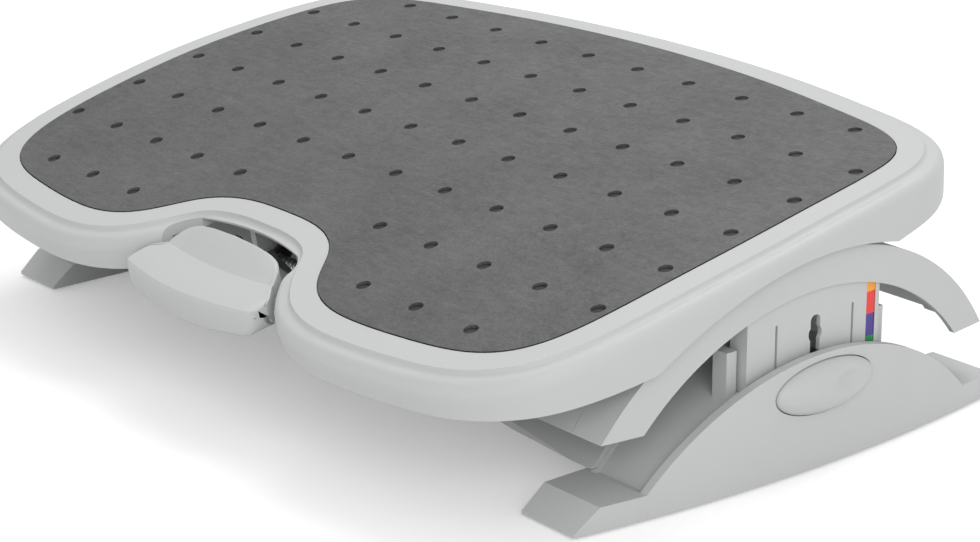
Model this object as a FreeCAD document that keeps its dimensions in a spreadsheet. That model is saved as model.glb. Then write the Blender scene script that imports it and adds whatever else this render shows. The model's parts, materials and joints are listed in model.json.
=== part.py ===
import FreeCAD, Part
import math
import os
import re
import Sketcher

# Tilting under-desk footrest, in millimetres.
# X runs to the user's right, Y away from the user and Z up from the floor.
# Every piece is laid out about the pivot line of the tilt, which is the X line
# at y = 0 and z = pivot_z, and the whole is then moved along Y by centre_shift,
# so that the origin is on the floor under the middle of the object.
# Pieces of the platform are laid out level and turned by rest_tilt at the end.

doc = FreeCAD.newDocument("Footrest")
sizes = doc.addObject("Spreadsheet::Sheet", "Sizes")

DIMENSIONS = [
    # the tilt, the height travel and the gaps
    ("pivot_z", -54, "height of the tilt's pivot line, below the floor"),
    ("rest_tilt", 10.9, "tilt of the platform at rest, front low, degrees"),
    ("tilt_swing", 15, "tilt to either side of level, degrees"),
    ("height_step", 13, "one step of the height setting"),
    ("slide_gap", 0.9, "riser arch to cheek"),
    ("seat_gap", 0.05, "between a piece and the curved seat it rests on"),
    ("ride_gap", 0.3, "platform ribs and shoes to the riser deck"),
    ("pin_gap", 0.05, "running fit on a pin, on the radius"),
    # the two side mouldings of the base
    ("base_length", 320, "front toe to rear toe"),
    ("toe_outer", 264.5, "half width over the toes"),
    ("toe_inner", 225, "inner face of the side mouldings"),
    ("side_bow", 14, "how far the sides bow out at the middle"),
    ("cheek_wall", 5, "thickness of the outer cheek"),
    ("cheek_arc", 164, "radius of the cheek's arched edge"),
    ("cheek_z", -100, "height of that arc's centre"),
    ("toe_height", 14.5, "top of the toes"),
    ("toe_flat", 145, "where the toe's top turns down, from the middle"),
    ("toe_root", 118, "where the arch rises from the toe, from the middle"),
    ("toe_lip", 3.2, "height of the toe's blunt tip"),
    ("underside", 1.5, "height of the mouldings over the floor"),
    ("channel_drop", 6, "channel floor below the cheek's edge"),
    ("skin", 3, "wall of the large mouldings"),
    ("inner_wall", 4, "inner wall of the side mouldings"),
    ("post_depth", 10, "guide post, along X"),
    ("post_wide", 7, "guide post, along Y"),
    ("post_top", 73, "top of the guide posts"),
    ("bridge_sag", 11, "how far the bridge's front edge is cut back"),
    ("bridge_rib", 16, "depth of the bridge's ribs"),
    ("bridge_rib_x", 120, "place of the bridge's outer ribs"),
    ("foot_long", 26, "rubber foot, along X"),
    ("foot_wide", 22, "rubber foot, along Y"),
    ("foot_thick", 3, "rubber foot, height"),
    ("foot_y", 139, "place of the rubber feet"),
    # the riser
    ("arch_outer", 171, "outer radius of the riser's arches"),
    ("arch_inner", 151, "inner radius of the riser's arches"),
    ("arch_wall", 3.5, "thickness of the arch band"),
    ("arch_end", 44, "height of the arch's cut ends"),
    ("deck_thick", 3, "riser deck sheet"),
    ("deck_edge", 240, "half width of the deck sheet"),
    ("lap", 12, "width of the ledge under the deck's edge"),
    ("panel_step", 2.6, "panel set back from the arch face"),
    ("panel_wall", 2.6, "panel thickness"),
    ("leg_half", 48.5, "half length of the leg panel"),
    ("leg_depth", 13, "depth of the leg's returns"),
    ("leg_bottom", 32, "bottom of the legs"),
    ("slit_wide", 1.6, "thin slits of the panel"),
    ("slit_y", 28, "place of the thin slits"),
    ("slit_top", 82.5, "top of the slits and of the slot"),
    ("slot_wide", 7, "latch slot"),
    ("notch_size", 9.6, "diameter of the latch notches"),
    ("strip_wide", 9.5, "colour strip, along Y"),
    ("strip_deep", 1, "thickness of the colour strip"),
    ("strip_top", 85.6, "bottom of the yellow segment"),
    ("strip_step", 12.4, "height of one colour"),
    ("guide_x", 120, "place of the deck's guide slots"),
    ("guide_slot", 10, "width of the guide slots"),
    ("guide_angle", 33, "half angle of the guide slots"),
    ("track_wide", 20, "brake track, along X"),
    ("track_thick", 4, "brake track on the deck"),
    ("track_start", 12, "nearer end of the brake track, degrees"),
    ("track_end", 50, "far end of the brake track, degrees"),
    # the height latch
    ("latch_z", 46, "height of the buttons and latch pins"),
    ("button_long", 70, "button, along Y"),
    ("button_high", 28, "button, along Z"),
    ("button_proud", 8.5, "button over the cheek"),
    ("button_travel", 2.8, "how far the button goes in"),
    ("button_gap", 0.6, "button to the opening round it"),
    ("dimple_y", 13, "finger dimple behind the button's middle"),
    ("pin_size", 6, "diameter of the latch pin's shank"),
    ("head_size", 6.2, "diameter of the latch pin's head"),
    ("boss_face", 249, "outer face of the latch boss"),
    ("boss_size", 16, "latch boss, square"),
    ("coil_size", 9, "latch spring, middle diameter"),
    ("coil_wire", 1, "latch spring wire"),
    ("coil_turns", 5, "latch spring turns"),
    ("pocket_deep", 3.3, "pocket in the boss that the latch spring sinks into"),
    # the platform
    ("top_radius", 184, "pivot line to the middle of the mat"),
    ("crown", 1449, "radius of the platform's crown, front to back"),
    ("mat_thick", 2.6, "foot mat"),
    ("mat_gap", 0.6, "groove round the mat"),
    ("mat_proud", 0.4, "mat over the rim"),
    ("rim_flat", 12, "flat rim round the mat"),
    ("shell_reach", 24.5, "mat edge to the outside of the bulge"),
    ("shell_deep", 33, "top of the platform to its lower edge"),
    ("shell_wall", 3.2, "wall of the platform"),
    ("hole_pitch", 44, "holes of the mat, along X"),
    ("row_pitch", 46.2, "holes of the mat, along Y"),
    ("hole_size", 8, "diameter of the mat's holes"),
    ("hole_deep", 1.4, "depth of the mat's holes"),
    ("rib_thick", 3, "platform ribs"),
    ("rib_reach", 92, "half length of the platform ribs"),
    ("rib_x", 15, "ribs to either side of a guide slot"),
    ("shoe_wide", 28, "glide shoe, along X"),
    ("shoe_angle", 14, "place of the shoes from the middle, degrees"),
    ("shoe_half", 4.5, "half length of a shoe, degrees"),
    ("shoe_thick", 3, "glide shoe"),
    ("guide_boss", 8, "diameter of the bosses through the slots"),
    # the pedal
    ("pedal_half", 56, "half width of the pedal"),
    ("pedal_back", 129, "back of the pedal from the middle"),
    ("pedal_front", 184, "front of the pedal from the middle"),
    ("pedal_bow", 12, "bow of the pedal's front and back"),
    ("tread_drop", 10, "tread below the top of the platform"),
    ("tread_thick", 3, "tread"),
    ("pedal_deep", 34, "bottom of the pedal below the top"),
    ("pedal_swing", 8, "press of the pedal, degrees"),
    ("hinge_y", 112, "pedal hinge from the middle"),
    ("hinge_drop", 36, "pedal hinge below the top"),
    ("hinge_pin", 5, "diameter of the pedal hinge pin"),
    ("ear_x", 24, "outer face of the hinge ears"),
    ("ear_thick", 5, "hinge ears"),
    ("arm_x", 17, "outer face of the lever arms"),
    ("arm_thick", 4, "lever arms"),
    ("pad_near", 78, "near end of the brake pad"),
    ("pad_far", 95, "far end of the brake pad"),
    ("pad_thick", 3, "brake pad"),
    # fasteners
    ("screw_head", 7, "screw head diameter"),
    ("screw_rise", 2, "screw head height"),
    ("screw_shank", 3, "screw shank diameter"),
    # set after everything is laid out
    ("centre_shift", 0, "moves the whole so that the origin is in the middle"),
]

for row, (alias, number, meaning) in enumerate(DIMENSIONS, 1):
    sizes.set("A%d" % row, alias)
    sizes.set("B%d" % row, str(number))
    sizes.set("C%d" % row, meaning)
    sizes.setAlias("B%d" % row, alias)
doc.recompute()

NAMES = {alias for alias, number, meaning in DIMENSIONS}
CENTRE_ROW = len(DIMENSIONS)

X_AXIS = FreeCAD.Vector(1, 0, 0)
Y_AXIS = FreeCAD.Vector(0, 1, 0)
Z_AXIS = FreeCAD.Vector(0, 0, 1)

# Sizes that follow from the driving ones.
HALF = "(base_length / 2)"
BOW_RADIUS = "((%s^2 + side_bow^2) / (2 * side_bow))" % HALF
BOW_X = "(toe_outer + side_bow - %s)" % BOW_RADIUS
CHEEK_OUT = "(toe_outer + side_bow)"
CHEEK_IN = "(toe_outer + side_bow - cheek_wall)"
ARCH_FACE = "(toe_outer + side_bow - cheek_wall - slide_gap)"
PANEL_FACE = "(toe_outer + side_bow - cheek_wall - slide_gap - panel_step)"
CHANNEL_ARC = "(cheek_arc - channel_drop)"
LEG_IN = "(toe_outer + side_bow - cheek_wall - slide_gap - panel_step - leg_depth)"
DECK_UNDER = "(arch_outer - deck_thick)"
TOP_Z = "(pivot_z + top_radius)"
HINGE_Z = "(pivot_z + top_radius - hinge_drop)"
TRAVEL = "(2 * height_step)"


def ex(text):
    """An expression in which every alias is read from the sheet."""
    return re.sub(r"[a-z][a-z_]+", lambda m: "Sizes." + m.group() if m.group() in NAMES else m.group(), text)


def val(text):
    """The number that an expression stands for."""
    return float(sizes.evalExpression(ex(text)))


def bind(obj, **properties):
    for name, text in properties.items():
        obj.setExpression(name, ex(text))
    return obj


def at(obj, x="0", y="0", z="0"):
    """Bind an object's place."""
    for axis, text in (("x", x), ("y", y), ("z", z)):
        obj.setExpression("Placement.Base." + axis, ex(text))
    return obj


def box(name, x0, x1, y0, y1, z0, z1):
    solid = doc.addObject("Part::Box", name)
    bind(solid, Length="(%s) - (%s)" % (x1, x0), Width="(%s) - (%s)" % (y1, y0), Height="(%s) - (%s)" % (z1, z0))
    return at(solid, x0, y0, z0)


def rod(name, axis, radius, start, end, a="0", b="0"):
    """A cylinder along an axis; a and b place it on the other two axes, in order."""
    solid = doc.addObject("Part::Cylinder", name)
    bind(solid, Radius=radius, Height="(%s) - (%s)" % (end, start))
    if axis == "x":
        solid.Placement = FreeCAD.Placement(FreeCAD.Vector(), FreeCAD.Rotation(Z_AXIS, X_AXIS))
        return at(solid, start, a, b)
    if axis == "y":
        solid.Placement = FreeCAD.Placement(FreeCAD.Vector(), FreeCAD.Rotation(Z_AXIS, Y_AXIS))
        return at(solid, a, start, b)
    return at(solid, a, b, start)


def bowed(name, face):
    """The space inside an upright wall that is bowed like the sides, its face at x = face in the middle."""
    return rod(name, "z", "(%s) - %s" % (face, BOW_X), "-20", "260", BOW_X, "0")


def cut(name, base, *tools):
    result = doc.addObject("Part::Cut", name)
    result.Base = base
    result.Tool = tools[0] if len(tools) == 1 else fuse(name + "_tools", *tools)
    return result


def fuse(name, *parts):
    result = doc.addObject("Part::MultiFuse", name)
    result.Shapes = list(parts)
    return result


def common(name, *parts):
    result = doc.addObject("Part::MultiCommon", name)
    result.Shapes = list(parts)
    return result


def group(name, *parts):
    result = doc.addObject("Part::Compound", name)
    result.Links = list(parts)
    return result


def mirrored(name, source):
    result = doc.addObject("Part::Mirroring", name)
    result.Source = source
    result.Base = FreeCAD.Vector(0, 0, 0)
    result.Normal = X_AXIS
    return result


def ring(name, inner, outer, x0, x1, centre="pivot_z"):
    """A hoop about an X line at y = 0."""
    return cut(name, rod(name + "_out", "x", outer, x0, x1, "0", centre), rod(name + "_in", "x", inner, "(%s) - 1" % x0, "(%s) + 1" % x1, "0", centre))


def origin_plane(body, role):
    return [item for item in body.Origin.OriginFeatures if item.Role == role][0]


def sketch(body, name, role, points):
    """A closed sketch of straight lines, every corner held by two bound dimensions."""
    drawing = body.newObject("Sketcher::SketchObject", name)
    drawing.AttachmentSupport = (origin_plane(body, role), "")
    drawing.MapMode = "FlatFace"
    corners = [FreeCAD.Vector(val(a), val(b), 0) for a, b in points]
    count = len(corners)
    for i in range(count):
        drawing.addGeometry(Part.LineSegment(corners[i], corners[(i + 1) % count]), False)
    for i in range(count):
        drawing.addConstraint(Sketcher.Constraint("Coincident", i, 2, (i + 1) % count, 1))
    for i, (a, b) in enumerate(points):
        for kind, text, label in (("DistanceX", a, "across"), ("DistanceY", b, "up")):
            index = drawing.addConstraint(Sketcher.Constraint(kind, -1, 1, i, 1, val(text)))
            drawing.renameConstraint(index, "%s_%d" % (label, i))
            drawing.setExpression("Constraints.%s_%d" % (label, i), ex(text))
    return drawing


def plate(name, points, x0, x1):
    """A body padded along X from a side profile of (y, z) corners."""
    body = doc.addObject("PartDesign::Body", name)
    drawing = sketch(body, name + "_profile", "YZ_Plane", points)
    drawing.setExpression("AttachmentOffset.Base.z", ex(x0))
    pad = body.newObject("PartDesign::Pad", name + "_pad")
    pad.Profile = drawing
    pad.setExpression("Length", ex("(%s) - (%s)" % (x1, x0)))
    return body


def turned(name, points):
    """A body turned about its own Z axis from (radius, height) corners."""
    body = doc.addObject("PartDesign::Body", name)
    drawing = sketch(body, name + "_profile", "XZ_Plane", points)
    turn = body.newObject("PartDesign::Revolution", name + "_turn")
    turn.Profile = drawing
    turn.ReferenceAxis = (origin_plane(body, "Z_Axis"), [""])
    turn.Angle = 360
    return body


def aim(obj, direction):
    """Turn an object so that its own Z axis points along a direction."""
    obj.Placement = FreeCAD.Placement(FreeCAD.Vector(), FreeCAD.Rotation(Z_AXIS, direction))
    return obj


def feature(name, shape):
    obj = doc.addObject("Part::Feature", name)
    obj.Shape = shape
    return obj


pieces = []


def piece(node, obj, tilted=False):
    """Name a finished piece and move it to its place in the whole object."""
    if obj.Placement.Rotation.Angle > 0:
        obj = group(obj.Name + "_placed", obj)
    obj.Label = node
    pieces.append(obj)
    if tilted:
        obj.Placement = FreeCAD.Placement(FreeCAD.Vector(), FreeCAD.Rotation(X_AXIS, 10))
        obj.setExpression("Placement.Rotation.Angle", ex("rest_tilt"))
        at(obj, "0", "pivot_z * sin(rest_tilt * 1 deg) + centre_shift", "pivot_z * (1 - cos(rest_tilt * 1 deg))")
    else:
        at(obj, "0", "centre_shift", "0")
    return obj


def left_piece(node, right):
    """The other side's twin of a piece that is in its place."""
    obj = doc.addObject("Part::Mirroring", right.Name + "_twin")
    obj.Source = right
    obj.Base = FreeCAD.Vector(0, 0, 0)
    obj.Normal = X_AXIS
    obj.Label = node
    pieces.append(obj)


# The base: two side mouldings with toes, joined by an arched bridge.

def toe(name, side):
    """The sloped toe at the front (side -1) or rear (side 1) of a side moulding."""
    reach = [(HALF, "underside"), (HALF, "toe_lip"), ("toe_flat", "toe_height"), ("(toe_root - 12)", "toe_height"), ("(toe_root - 12)", "underside")]
    return plate(name, [("%d * %s" % (side, y), z) for y, z in reach], "toe_inner", "toe_outer + side_bow + 5")


def base_side():
    hump = common(
        "side_hump",
        rod("side_hump_arc", "x", "cheek_arc", "toe_inner", "toe_outer + side_bow + 5", "0", "cheek_z"),
        box("side_hump_space", "0", "400", "-toe_root", "toe_root", "underside", "200"),
    )
    outside = common("side_outside", fuse("side_blank", hump, toe("toe_front", -1), toe("toe_rear", 1)), bowed("side_face", CHEEK_OUT))
    channel = common(
        "channel_space",
        ring("channel_arc", CHANNEL_ARC, "cheek_arc + 20", "toe_inner + inner_wall", "400", "cheek_z"),
        bowed("channel_wall", CHEEK_IN),
        box("channel_limit", "0", "400", "-toe_root", "toe_root", "toe_height - 2.5", "200"),
    )
    ledge = common(
        "bridge_seat",
        ring("bridge_seat_arc", "cheek_arc - skin", "cheek_arc + 20", "toe_inner - 5", "toe_inner + inner_wall + 0.1", "cheek_z"),
        box("bridge_seat_space", "0", "400", "-toe_root", "toe_root", "toe_height", "200"),
    )
    hollow = common(
        "side_hollow",
        rod("side_hollow_arc", "x", "cheek_arc - channel_drop - skin", "toe_inner + inner_wall", "400", "0", "cheek_z"),
        bowed("side_hollow_wall", CHEEK_IN),
        box("side_hollow_space", "0", "400", "-(toe_root - 8)", "toe_root - 8", "-5", "200"),
    )
    opening = common(
        "leg_opening",
        box("leg_opening_space", "%s - 2" % LEG_IN, "400", "-(leg_half + 0.4)", "leg_half + 0.4", "25", "200"),
        bowed("leg_opening_wall", CHEEK_IN),
    )
    oval = button_oval("button_hole", "button_gap", "250", "300")
    boss = box("latch_boss", "toe_inner + inner_wall - 0.5", "boss_face", "-boss_size / 2", "boss_size / 2", "latch_z - boss_size / 2", "latch_z + boss_size / 2")
    pin_hole = rod("latch_hole", "x", "pin_size / 2 + pin_gap", "toe_inner - 5", "boss_face + 5", "0", "latch_z")
    pocket = rod("latch_pocket", "x", "(coil_size + coil_wire) / 2 + 0.4", "boss_face - pocket_deep", "boss_face + 5", "0", "latch_z")
    posts = []
    for side in (-1, 1):
        near = "leg_half + 0.4 + 1.6"
        edges = ("-(%s + post_wide)" % near, "-(%s)" % near) if side < 0 else (near, "%s + post_wide" % near)
        posts.append(box("post_%s" % ("front" if side < 0 else "rear"), "%s - 3" % LEG_IN, "%s - 3 + post_depth" % LEG_IN, edges[0], edges[1], "24", "post_top"))
    lugs = []
    for side in (-1, 1):
        lugs.append(box("lug_%d" % (side + 1), "toe_inner - 10", "toe_inner + 0.5", "%d * 70 - 5" % side, "%d * 70 + 5" % side, "18", "60"))
    lug_arc = rod("lug_arc", "x", "cheek_arc - skin", "0", "400", "0", "cheek_z")
    lug_set = common("bridge_lugs", fuse("lug_pair", *lugs), lug_arc)
    body = cut("side_walls", fuse("side_solid", outside, lug_set), channel, ledge, hollow)
    body = cut("side_openings", fuse("side_with_boss", body, boss, *posts), opening, oval, pin_hole, pocket)
    recess = []
    for side in (-1, 1):
        recess.append(foot_space("foot_recess_%d" % (side + 1), side, "foot_long + 0.4", "foot_wide + 0.4", "-5", "foot_thick"))
    return cut("side_moulding", body, *recess)


def foot_space(name, side, long, wide, z0, z1):
    middle = "(toe_inner + toe_outer) / 2"
    return box(name, "%s - (%s) / 2" % (middle, long), "%s + (%s) / 2" % (middle, long), "%d * foot_y - (%s) / 2" % (side, wide), "%d * foot_y + (%s) / 2" % (side, wide), z0, z1)


def button_oval(name, grow, x0, x1):
    """An upright oval of the button's outline, drawn out along X."""
    curve = Part.Ellipse(FreeCAD.Vector(0, 0, 0), val("button_long / 2 + (%s)" % grow), val("button_high / 2 + (%s)" % grow))
    turn = FreeCAD.Matrix()
    turn.rotateX(math.pi / 2)
    turn.rotateZ(math.pi / 2)
    wire = Part.Wire(curve.toShape()).transformGeometry(turn)
    face = Part.Face(wire)
    face.translate(FreeCAD.Vector(val(x0), 0, val("latch_z")))
    return feature(name, face.extrude(FreeCAD.Vector(val("(%s) - (%s)" % (x1, x0)), 0, 0)))


def base_bridge():
    sheet = ring("bridge_sheet", "cheek_arc - skin + seat_gap", "cheek_arc", "-(toe_inner + inner_wall - 0.3)", "toe_inner + inner_wall - 0.3", "cheek_z")
    ribs = []
    for index, place in enumerate(("-bridge_rib_x", "0", "bridge_rib_x")):
        ribs.append(ring("bridge_rib_%d" % index, "cheek_arc - bridge_rib", "cheek_arc - skin + 0.2", "%s - 1.25" % place, "%s + 1.25" % place, "cheek_z"))
    limit = box("bridge_limit", "-400", "400", "-(toe_root - 0.4)", "toe_root - 0.4", "toe_height + 0.4", "200")
    body = common("bridge_arch", fuse("bridge_all", sheet, *ribs), limit)
    edge_radius = "((toe_inner^2 + bridge_sag^2) / (2 * bridge_sag))"
    trims = []
    for side in (-1, 1):
        trims.append(rod("bridge_trim_%d" % (side + 1), "z", edge_radius, "-5", "200", "0", "%d * (toe_root - bridge_sag + %s)" % (side, edge_radius)))
    return cut("bridge", body, *trims)


def feet():
    rubber = []
    for index, (flip, side) in enumerate(((1, -1), (1, 1), (-1, -1), (-1, 1))):
        block = foot_space("foot_%d" % index, side, "foot_long", "foot_wide", "0", "foot_thick")
        rubber.append(block if flip > 0 else mirrored("foot_%d_left" % index, block))
    return group("feet", *rubber)


right_side = piece("base_side_right", base_side())
left_piece("base_side_left", right_side)
piece("base_bridge", base_bridge())
piece("rubber_feet", feet())


# The riser: two arches with legs, under a curved deck.

def riser_side():
    face = bowed("riser_face", ARCH_FACE)
    above = box("riser_above", "0", "400", "-200", "200", "arch_end", "200")
    band = cut(
        "arch_band",
        common("arch_band_space", ring("arch_hoop", "arch_inner", "arch_outer", "230", "290"), face, above),
        bowed("arch_band_back", "%s - arch_wall" % ARCH_FACE),
    )
    flange = common("arch_flange", ring("arch_flange_hoop", DECK_UNDER, "arch_outer", "deck_edge", "290"), face, above)
    ledge = common("deck_ledge", ring("deck_ledge_hoop", "%s - deck_thick" % DECK_UNDER, "%s - seat_gap" % DECK_UNDER, "deck_edge - lap", "deck_edge + 3"), above)
    ledge_root = common("deck_ledge_root", ring("deck_ledge_root_hoop", "%s - deck_thick" % DECK_UNDER, "arch_outer - 1", "deck_edge", "deck_edge + 3"), above)
    sheet = cut(
        "panel_sheet",
        common("panel_space", box("panel_box", "200", "290", "-leg_half", "leg_half", "leg_bottom", "200"), bowed("panel_face", PANEL_FACE), rod("panel_top", "x", "arch_inner + 3", "200", "290", "0", "pivot_z")),
        bowed("panel_back", "%s - panel_wall" % PANEL_FACE),
    )
    returns = []
    for side in (-1, 1):
        edges = ("-leg_half", "-leg_half + 3") if side < 0 else ("leg_half - 3", "leg_half")
        returns.append(box("return_%d" % (side + 1), LEG_IN, "%s - 0.8" % PANEL_FACE, edges[0], edges[1], "leg_bottom", "200"))
    leg_returns = common("leg_returns", fuse("leg_return_pair", *returns), rod("return_top", "x", "%s + 0.2" % DECK_UNDER, "200", "290", "0", "pivot_z"))
    solid = fuse("riser_solid", band, flange, ledge, ledge_root, sheet, leg_returns)
    openings = []
    for side in (-1, 1):
        openings.append(box("slit_%d" % (side + 1), "%s - 8" % PANEL_FACE, "290", "%d * slit_y - slit_wide / 2" % side, "%d * slit_y + slit_wide / 2" % side, "0", "slit_top"))
    openings.append(box("slot", "%s - 8" % PANEL_FACE, "290", "-slot_wide / 2", "slot_wide / 2", "0", "slit_top - slot_wide / 2"))
    openings.append(rod("slot_end", "x", "slot_wide / 2", "%s - 8" % PANEL_FACE, "290", "0", "slit_top - slot_wide / 2"))
    for step in range(3):
        openings.append(rod("notch_%d" % step, "x", "notch_size / 2", "%s - 8" % PANEL_FACE, "290", "0", "latch_z + %d * height_step" % step))
    strip = cut(
        "strip_space",
        common("strip_block", box("strip_box", "200", "290", "leg_half - strip_wide", "leg_half + 1", "strip_top - 3 * strip_step", "200"), bowed("strip_face", "%s + 0.2" % PANEL_FACE), rod("strip_arc", "x", "arch_inner", "200", "290", "0", "pivot_z")),
        bowed("strip_back", "%s - strip_deep" % PANEL_FACE),
    )
    return cut("riser_moulding", solid, strip, *openings)


def strip_colour(name, low, high):
    """One colour of the height strip on both sides."""
    chip = cut(
        name + "_chip",
        common(name + "_block", box(name + "_box", "200", "290", "leg_half - strip_wide + 0.1", "leg_half", low, high), bowed(name + "_face", PANEL_FACE), rod(name + "_arc", "x", "arch_inner - 0.1", "200", "290", "0", "pivot_z")),
        bowed(name + "_back", "%s - strip_deep + 0.05" % PANEL_FACE),
    )
    return group(name + "_pair", chip, mirrored(name + "_left", chip))


def riser_deck():
    sheet = common("deck_sheet", ring("deck_hoop", DECK_UNDER, "arch_outer", "-deck_edge + 0.2", "deck_edge - 0.2"), box("deck_above", "-400", "400", "-200", "200", "arch_end", "200"))
    slots = []
    for side in (-1, 1):
        sector = [("0", "pivot_z")]
        for k in (-1, 1):
            sector.append(("%d * 300 * sin(guide_angle * 1 deg)" % k, "pivot_z + 300 * cos(guide_angle * 1 deg)"))
        slots.append(plate("guide_slot_%d" % (side + 1), sector, "%d * guide_x - guide_slot / 2" % side, "%d * guide_x + guide_slot / 2" % side))
    return cut("deck", sheet, *slots)


def brake_track():
    """A smooth curved bar on the front half of the deck, which the brake pad grips."""
    sector = [("0", "pivot_z")]
    for angle in ("track_start", "track_end"):
        sector.append(("-300 * sin(%s * 1 deg)" % angle, "pivot_z + 300 * cos(%s * 1 deg)" % angle))
    return common("track", ring("track_hoop", "arch_outer + seat_gap", "arch_outer + track_thick", "-track_wide / 2", "track_wide / 2"), plate("track_sector", sector, "-track_wide / 2", "track_wide / 2"))


right_riser = piece("riser_side_right", riser_side())
left_piece("riser_side_left", right_riser)
piece("riser_deck", riser_deck())
piece("brake_track", brake_track())
piece("scale_yellow", strip_colour("yellow", "strip_top", "200"))
piece("scale_red", strip_colour("red", "strip_top - strip_step", "strip_top"))
piece("scale_blue", strip_colour("blue", "strip_top - 2 * strip_step", "strip_top - strip_step"))
piece("scale_green", strip_colour("green", "strip_top - 3 * strip_step", "strip_top - 2 * strip_step"))


# The height latch of each side: button, pin, spring and clip.

def height_button():
    prism = button_oval("button_prism", "0", CHEEK_IN, "320")
    dome = doc.addObject("Part::Ellipsoid", "button_dome")
    bind(dome, Radius1="button_proud + 2.5", Radius2="button_long / 2 + 2.5", Radius3="button_high / 2 + 2.5")
    dome.Angle1 = -90
    dome.Angle2 = 90
    dome.Angle3 = 360
    dome.Placement = FreeCAD.Placement(FreeCAD.Vector(), FreeCAD.Rotation(FreeCAD.Vector(0, 1, 0), FreeCAD.Vector(0, 0, 1), FreeCAD.Vector(1, 0, 0), "ZXY"))
    at(dome, "%s - 2.5" % CHEEK_OUT, "0", "latch_z")
    base = fuse("button_core", dome, box("button_root", CHEEK_IN, "%s - 2" % CHEEK_OUT, "-60", "60", "latch_z - 40", "latch_z + 40"))
    dimple = doc.addObject("Part::Sphere", "button_dimple")
    bind(dimple, Radius="17")
    at(dimple, "%s + button_proud + 14.2" % CHEEK_OUT, "dimple_y", "latch_z")
    return cut("button", common("button_blank", prism, base), dimple)


def latch_pin():
    """A stepped pin along X: groove for the clip, shank in the boss, collar for the spring, head in the panel's slot."""
    head_in = "%s - panel_wall - 1.2" % PANEL_FACE
    groove = "pin_size / 2 - 0.9"
    return [
        ("0", "toe_inner - 4"), ("pin_size / 2", "toe_inner - 4"), ("pin_size / 2", "toe_inner - 1.5"), (groove, "toe_inner - 1.5"),
        (groove, "toe_inner - 0.3"), ("pin_size / 2", "toe_inner - 0.3"), ("pin_size / 2", "%s - 1" % head_in),
        ("(coil_size + coil_wire) / 2", "%s - 1" % head_in), ("(coil_size + coil_wire) / 2", head_in),
        ("head_size / 2", head_in), ("head_size / 2", CHEEK_IN), ("0", CHEEK_IN),
    ]


def along_x(body):
    """Lay a turned body along X at the latch's height."""
    return at(aim(body, X_AXIS), "0", "0", "latch_z")


def coil(name, start, end, size, wire, turns):
    """A round-wire coil along X at the latch's height."""
    path = Part.makeHelix(val("((%s) - (%s) - %s) / %s" % (end, start, wire, turns)), val("(%s) - (%s) - %s" % (end, start, wire)), val("%s / 2" % size))
    section = Part.Wire(Part.Circle(FreeCAD.Vector(val("%s / 2" % size), 0, 0), Y_AXIS, val("%s / 2" % wire)).toShape())
    solid = Part.Wire(path.Edges).makePipeShell([section], True, True)
    obj = feature(name, solid)
    return at(aim(obj, X_AXIS), "(%s) + %s / 2" % (start, wire), "0", "latch_z")


right_button = height_button()
right_pin = along_x(turned("latch_pin", latch_pin()))
head_back = "%s - panel_wall - 1.2" % PANEL_FACE
right_coil = coil("latch_coil", "boss_face + 0.1", "%s - 1" % head_back, "coil_size", "coil_wire", "coil_turns")
clip = along_x(turned("pin_clip", [("pin_size / 2 - 0.9", "toe_inner - 1.5"), ("pin_size / 2 + 2", "toe_inner - 1.5"), ("pin_size / 2 + 2", "toe_inner - 0.3"), ("pin_size / 2 - 0.9", "toe_inner - 0.3")]))
for node, obj in (("height_button", right_button), ("latch_pin", right_pin), ("latch_spring", right_coil), ("latch_clip", clip)):
    left_piece(node + "_left", piece(node + "_right", obj))


# The platform: a crowned shell with a notch for the pedal.

# Half of the mat's outline, from the rear middle round the right to the notch's middle.
MAT_HALF = [
    (0, 175.8), (60, 173.4), (120, 166.5), (177, 156), (217, 144.5), (240, 126), (249.5, 98), (254, 50), (255.7, 0),
    (253.9, -50), (250, -95), (243, -124), (230, -143.5), (208, -155), (172, -161.5), (133, -164.3), (104, -161),
    (83, -149.5), (70, -134.5), (57.7, -121.5), (38, -112.2), (0, -108.8),
]
OUTLINE_SAMPLES = 72


def outline_curve():
    """The mat's outline as one smooth closed curve."""
    half = [FreeCAD.Vector(x, y, 0) for x, y in MAT_HALF]
    other = [FreeCAD.Vector(-p.x, p.y, 0) for p in half[-2:0:-1]]
    curve = Part.BSplineCurve()
    curve.interpolate(Points=half + other, PeriodicFlag=True)
    return curve


MAT_CURVE = outline_curve()


def offset_points(distance):
    """Points of the outline moved outwards, evenly spaced along it."""
    first, last = MAT_CURVE.FirstParameter, MAT_CURVE.LastParameter
    points = []
    for i in range(OUTLINE_SAMPLES):
        u = first + (last - first) * i / OUTLINE_SAMPLES
        spot = MAT_CURVE.value(u)
        run = MAT_CURVE.tangent(u)[0]
        points.append(spot + FreeCAD.Vector(-run.y, run.x, 0) * distance)
    return points


def offset_curve(distance, height, crowned=False):
    """The outline moved outwards, at a height above the pivot line, following the crown if asked."""
    points = []
    for p in offset_points(distance):
        drop = p.y ** 2 / (2 * val("crown")) if crowned else 0
        points.append(FreeCAD.Vector(p.x, p.y, val("pivot_z") + height - drop))
    steps = [i / OUTLINE_SAMPLES for i in range(OUTLINE_SAMPLES + 1)]
    curve = Part.BSplineCurve()
    curve.interpolate(Points=points, PeriodicFlag=True, Parameters=steps)
    return curve


def prism(name, distance, low, high):
    """The outline moved outwards and drawn up between two heights above the pivot line."""
    face = Part.Face(Part.Wire(offset_curve(distance, low).toShape()))
    return feature(name, face.extrude(FreeCAD.Vector(0, 0, high - low)))


def crown_space(name, drop):
    """The space under the crown, lowered by drop."""
    return rod(name, "x", "crown - (%s)" % drop, "-400", "400", "0", "pivot_z + top_radius - crown")


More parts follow.
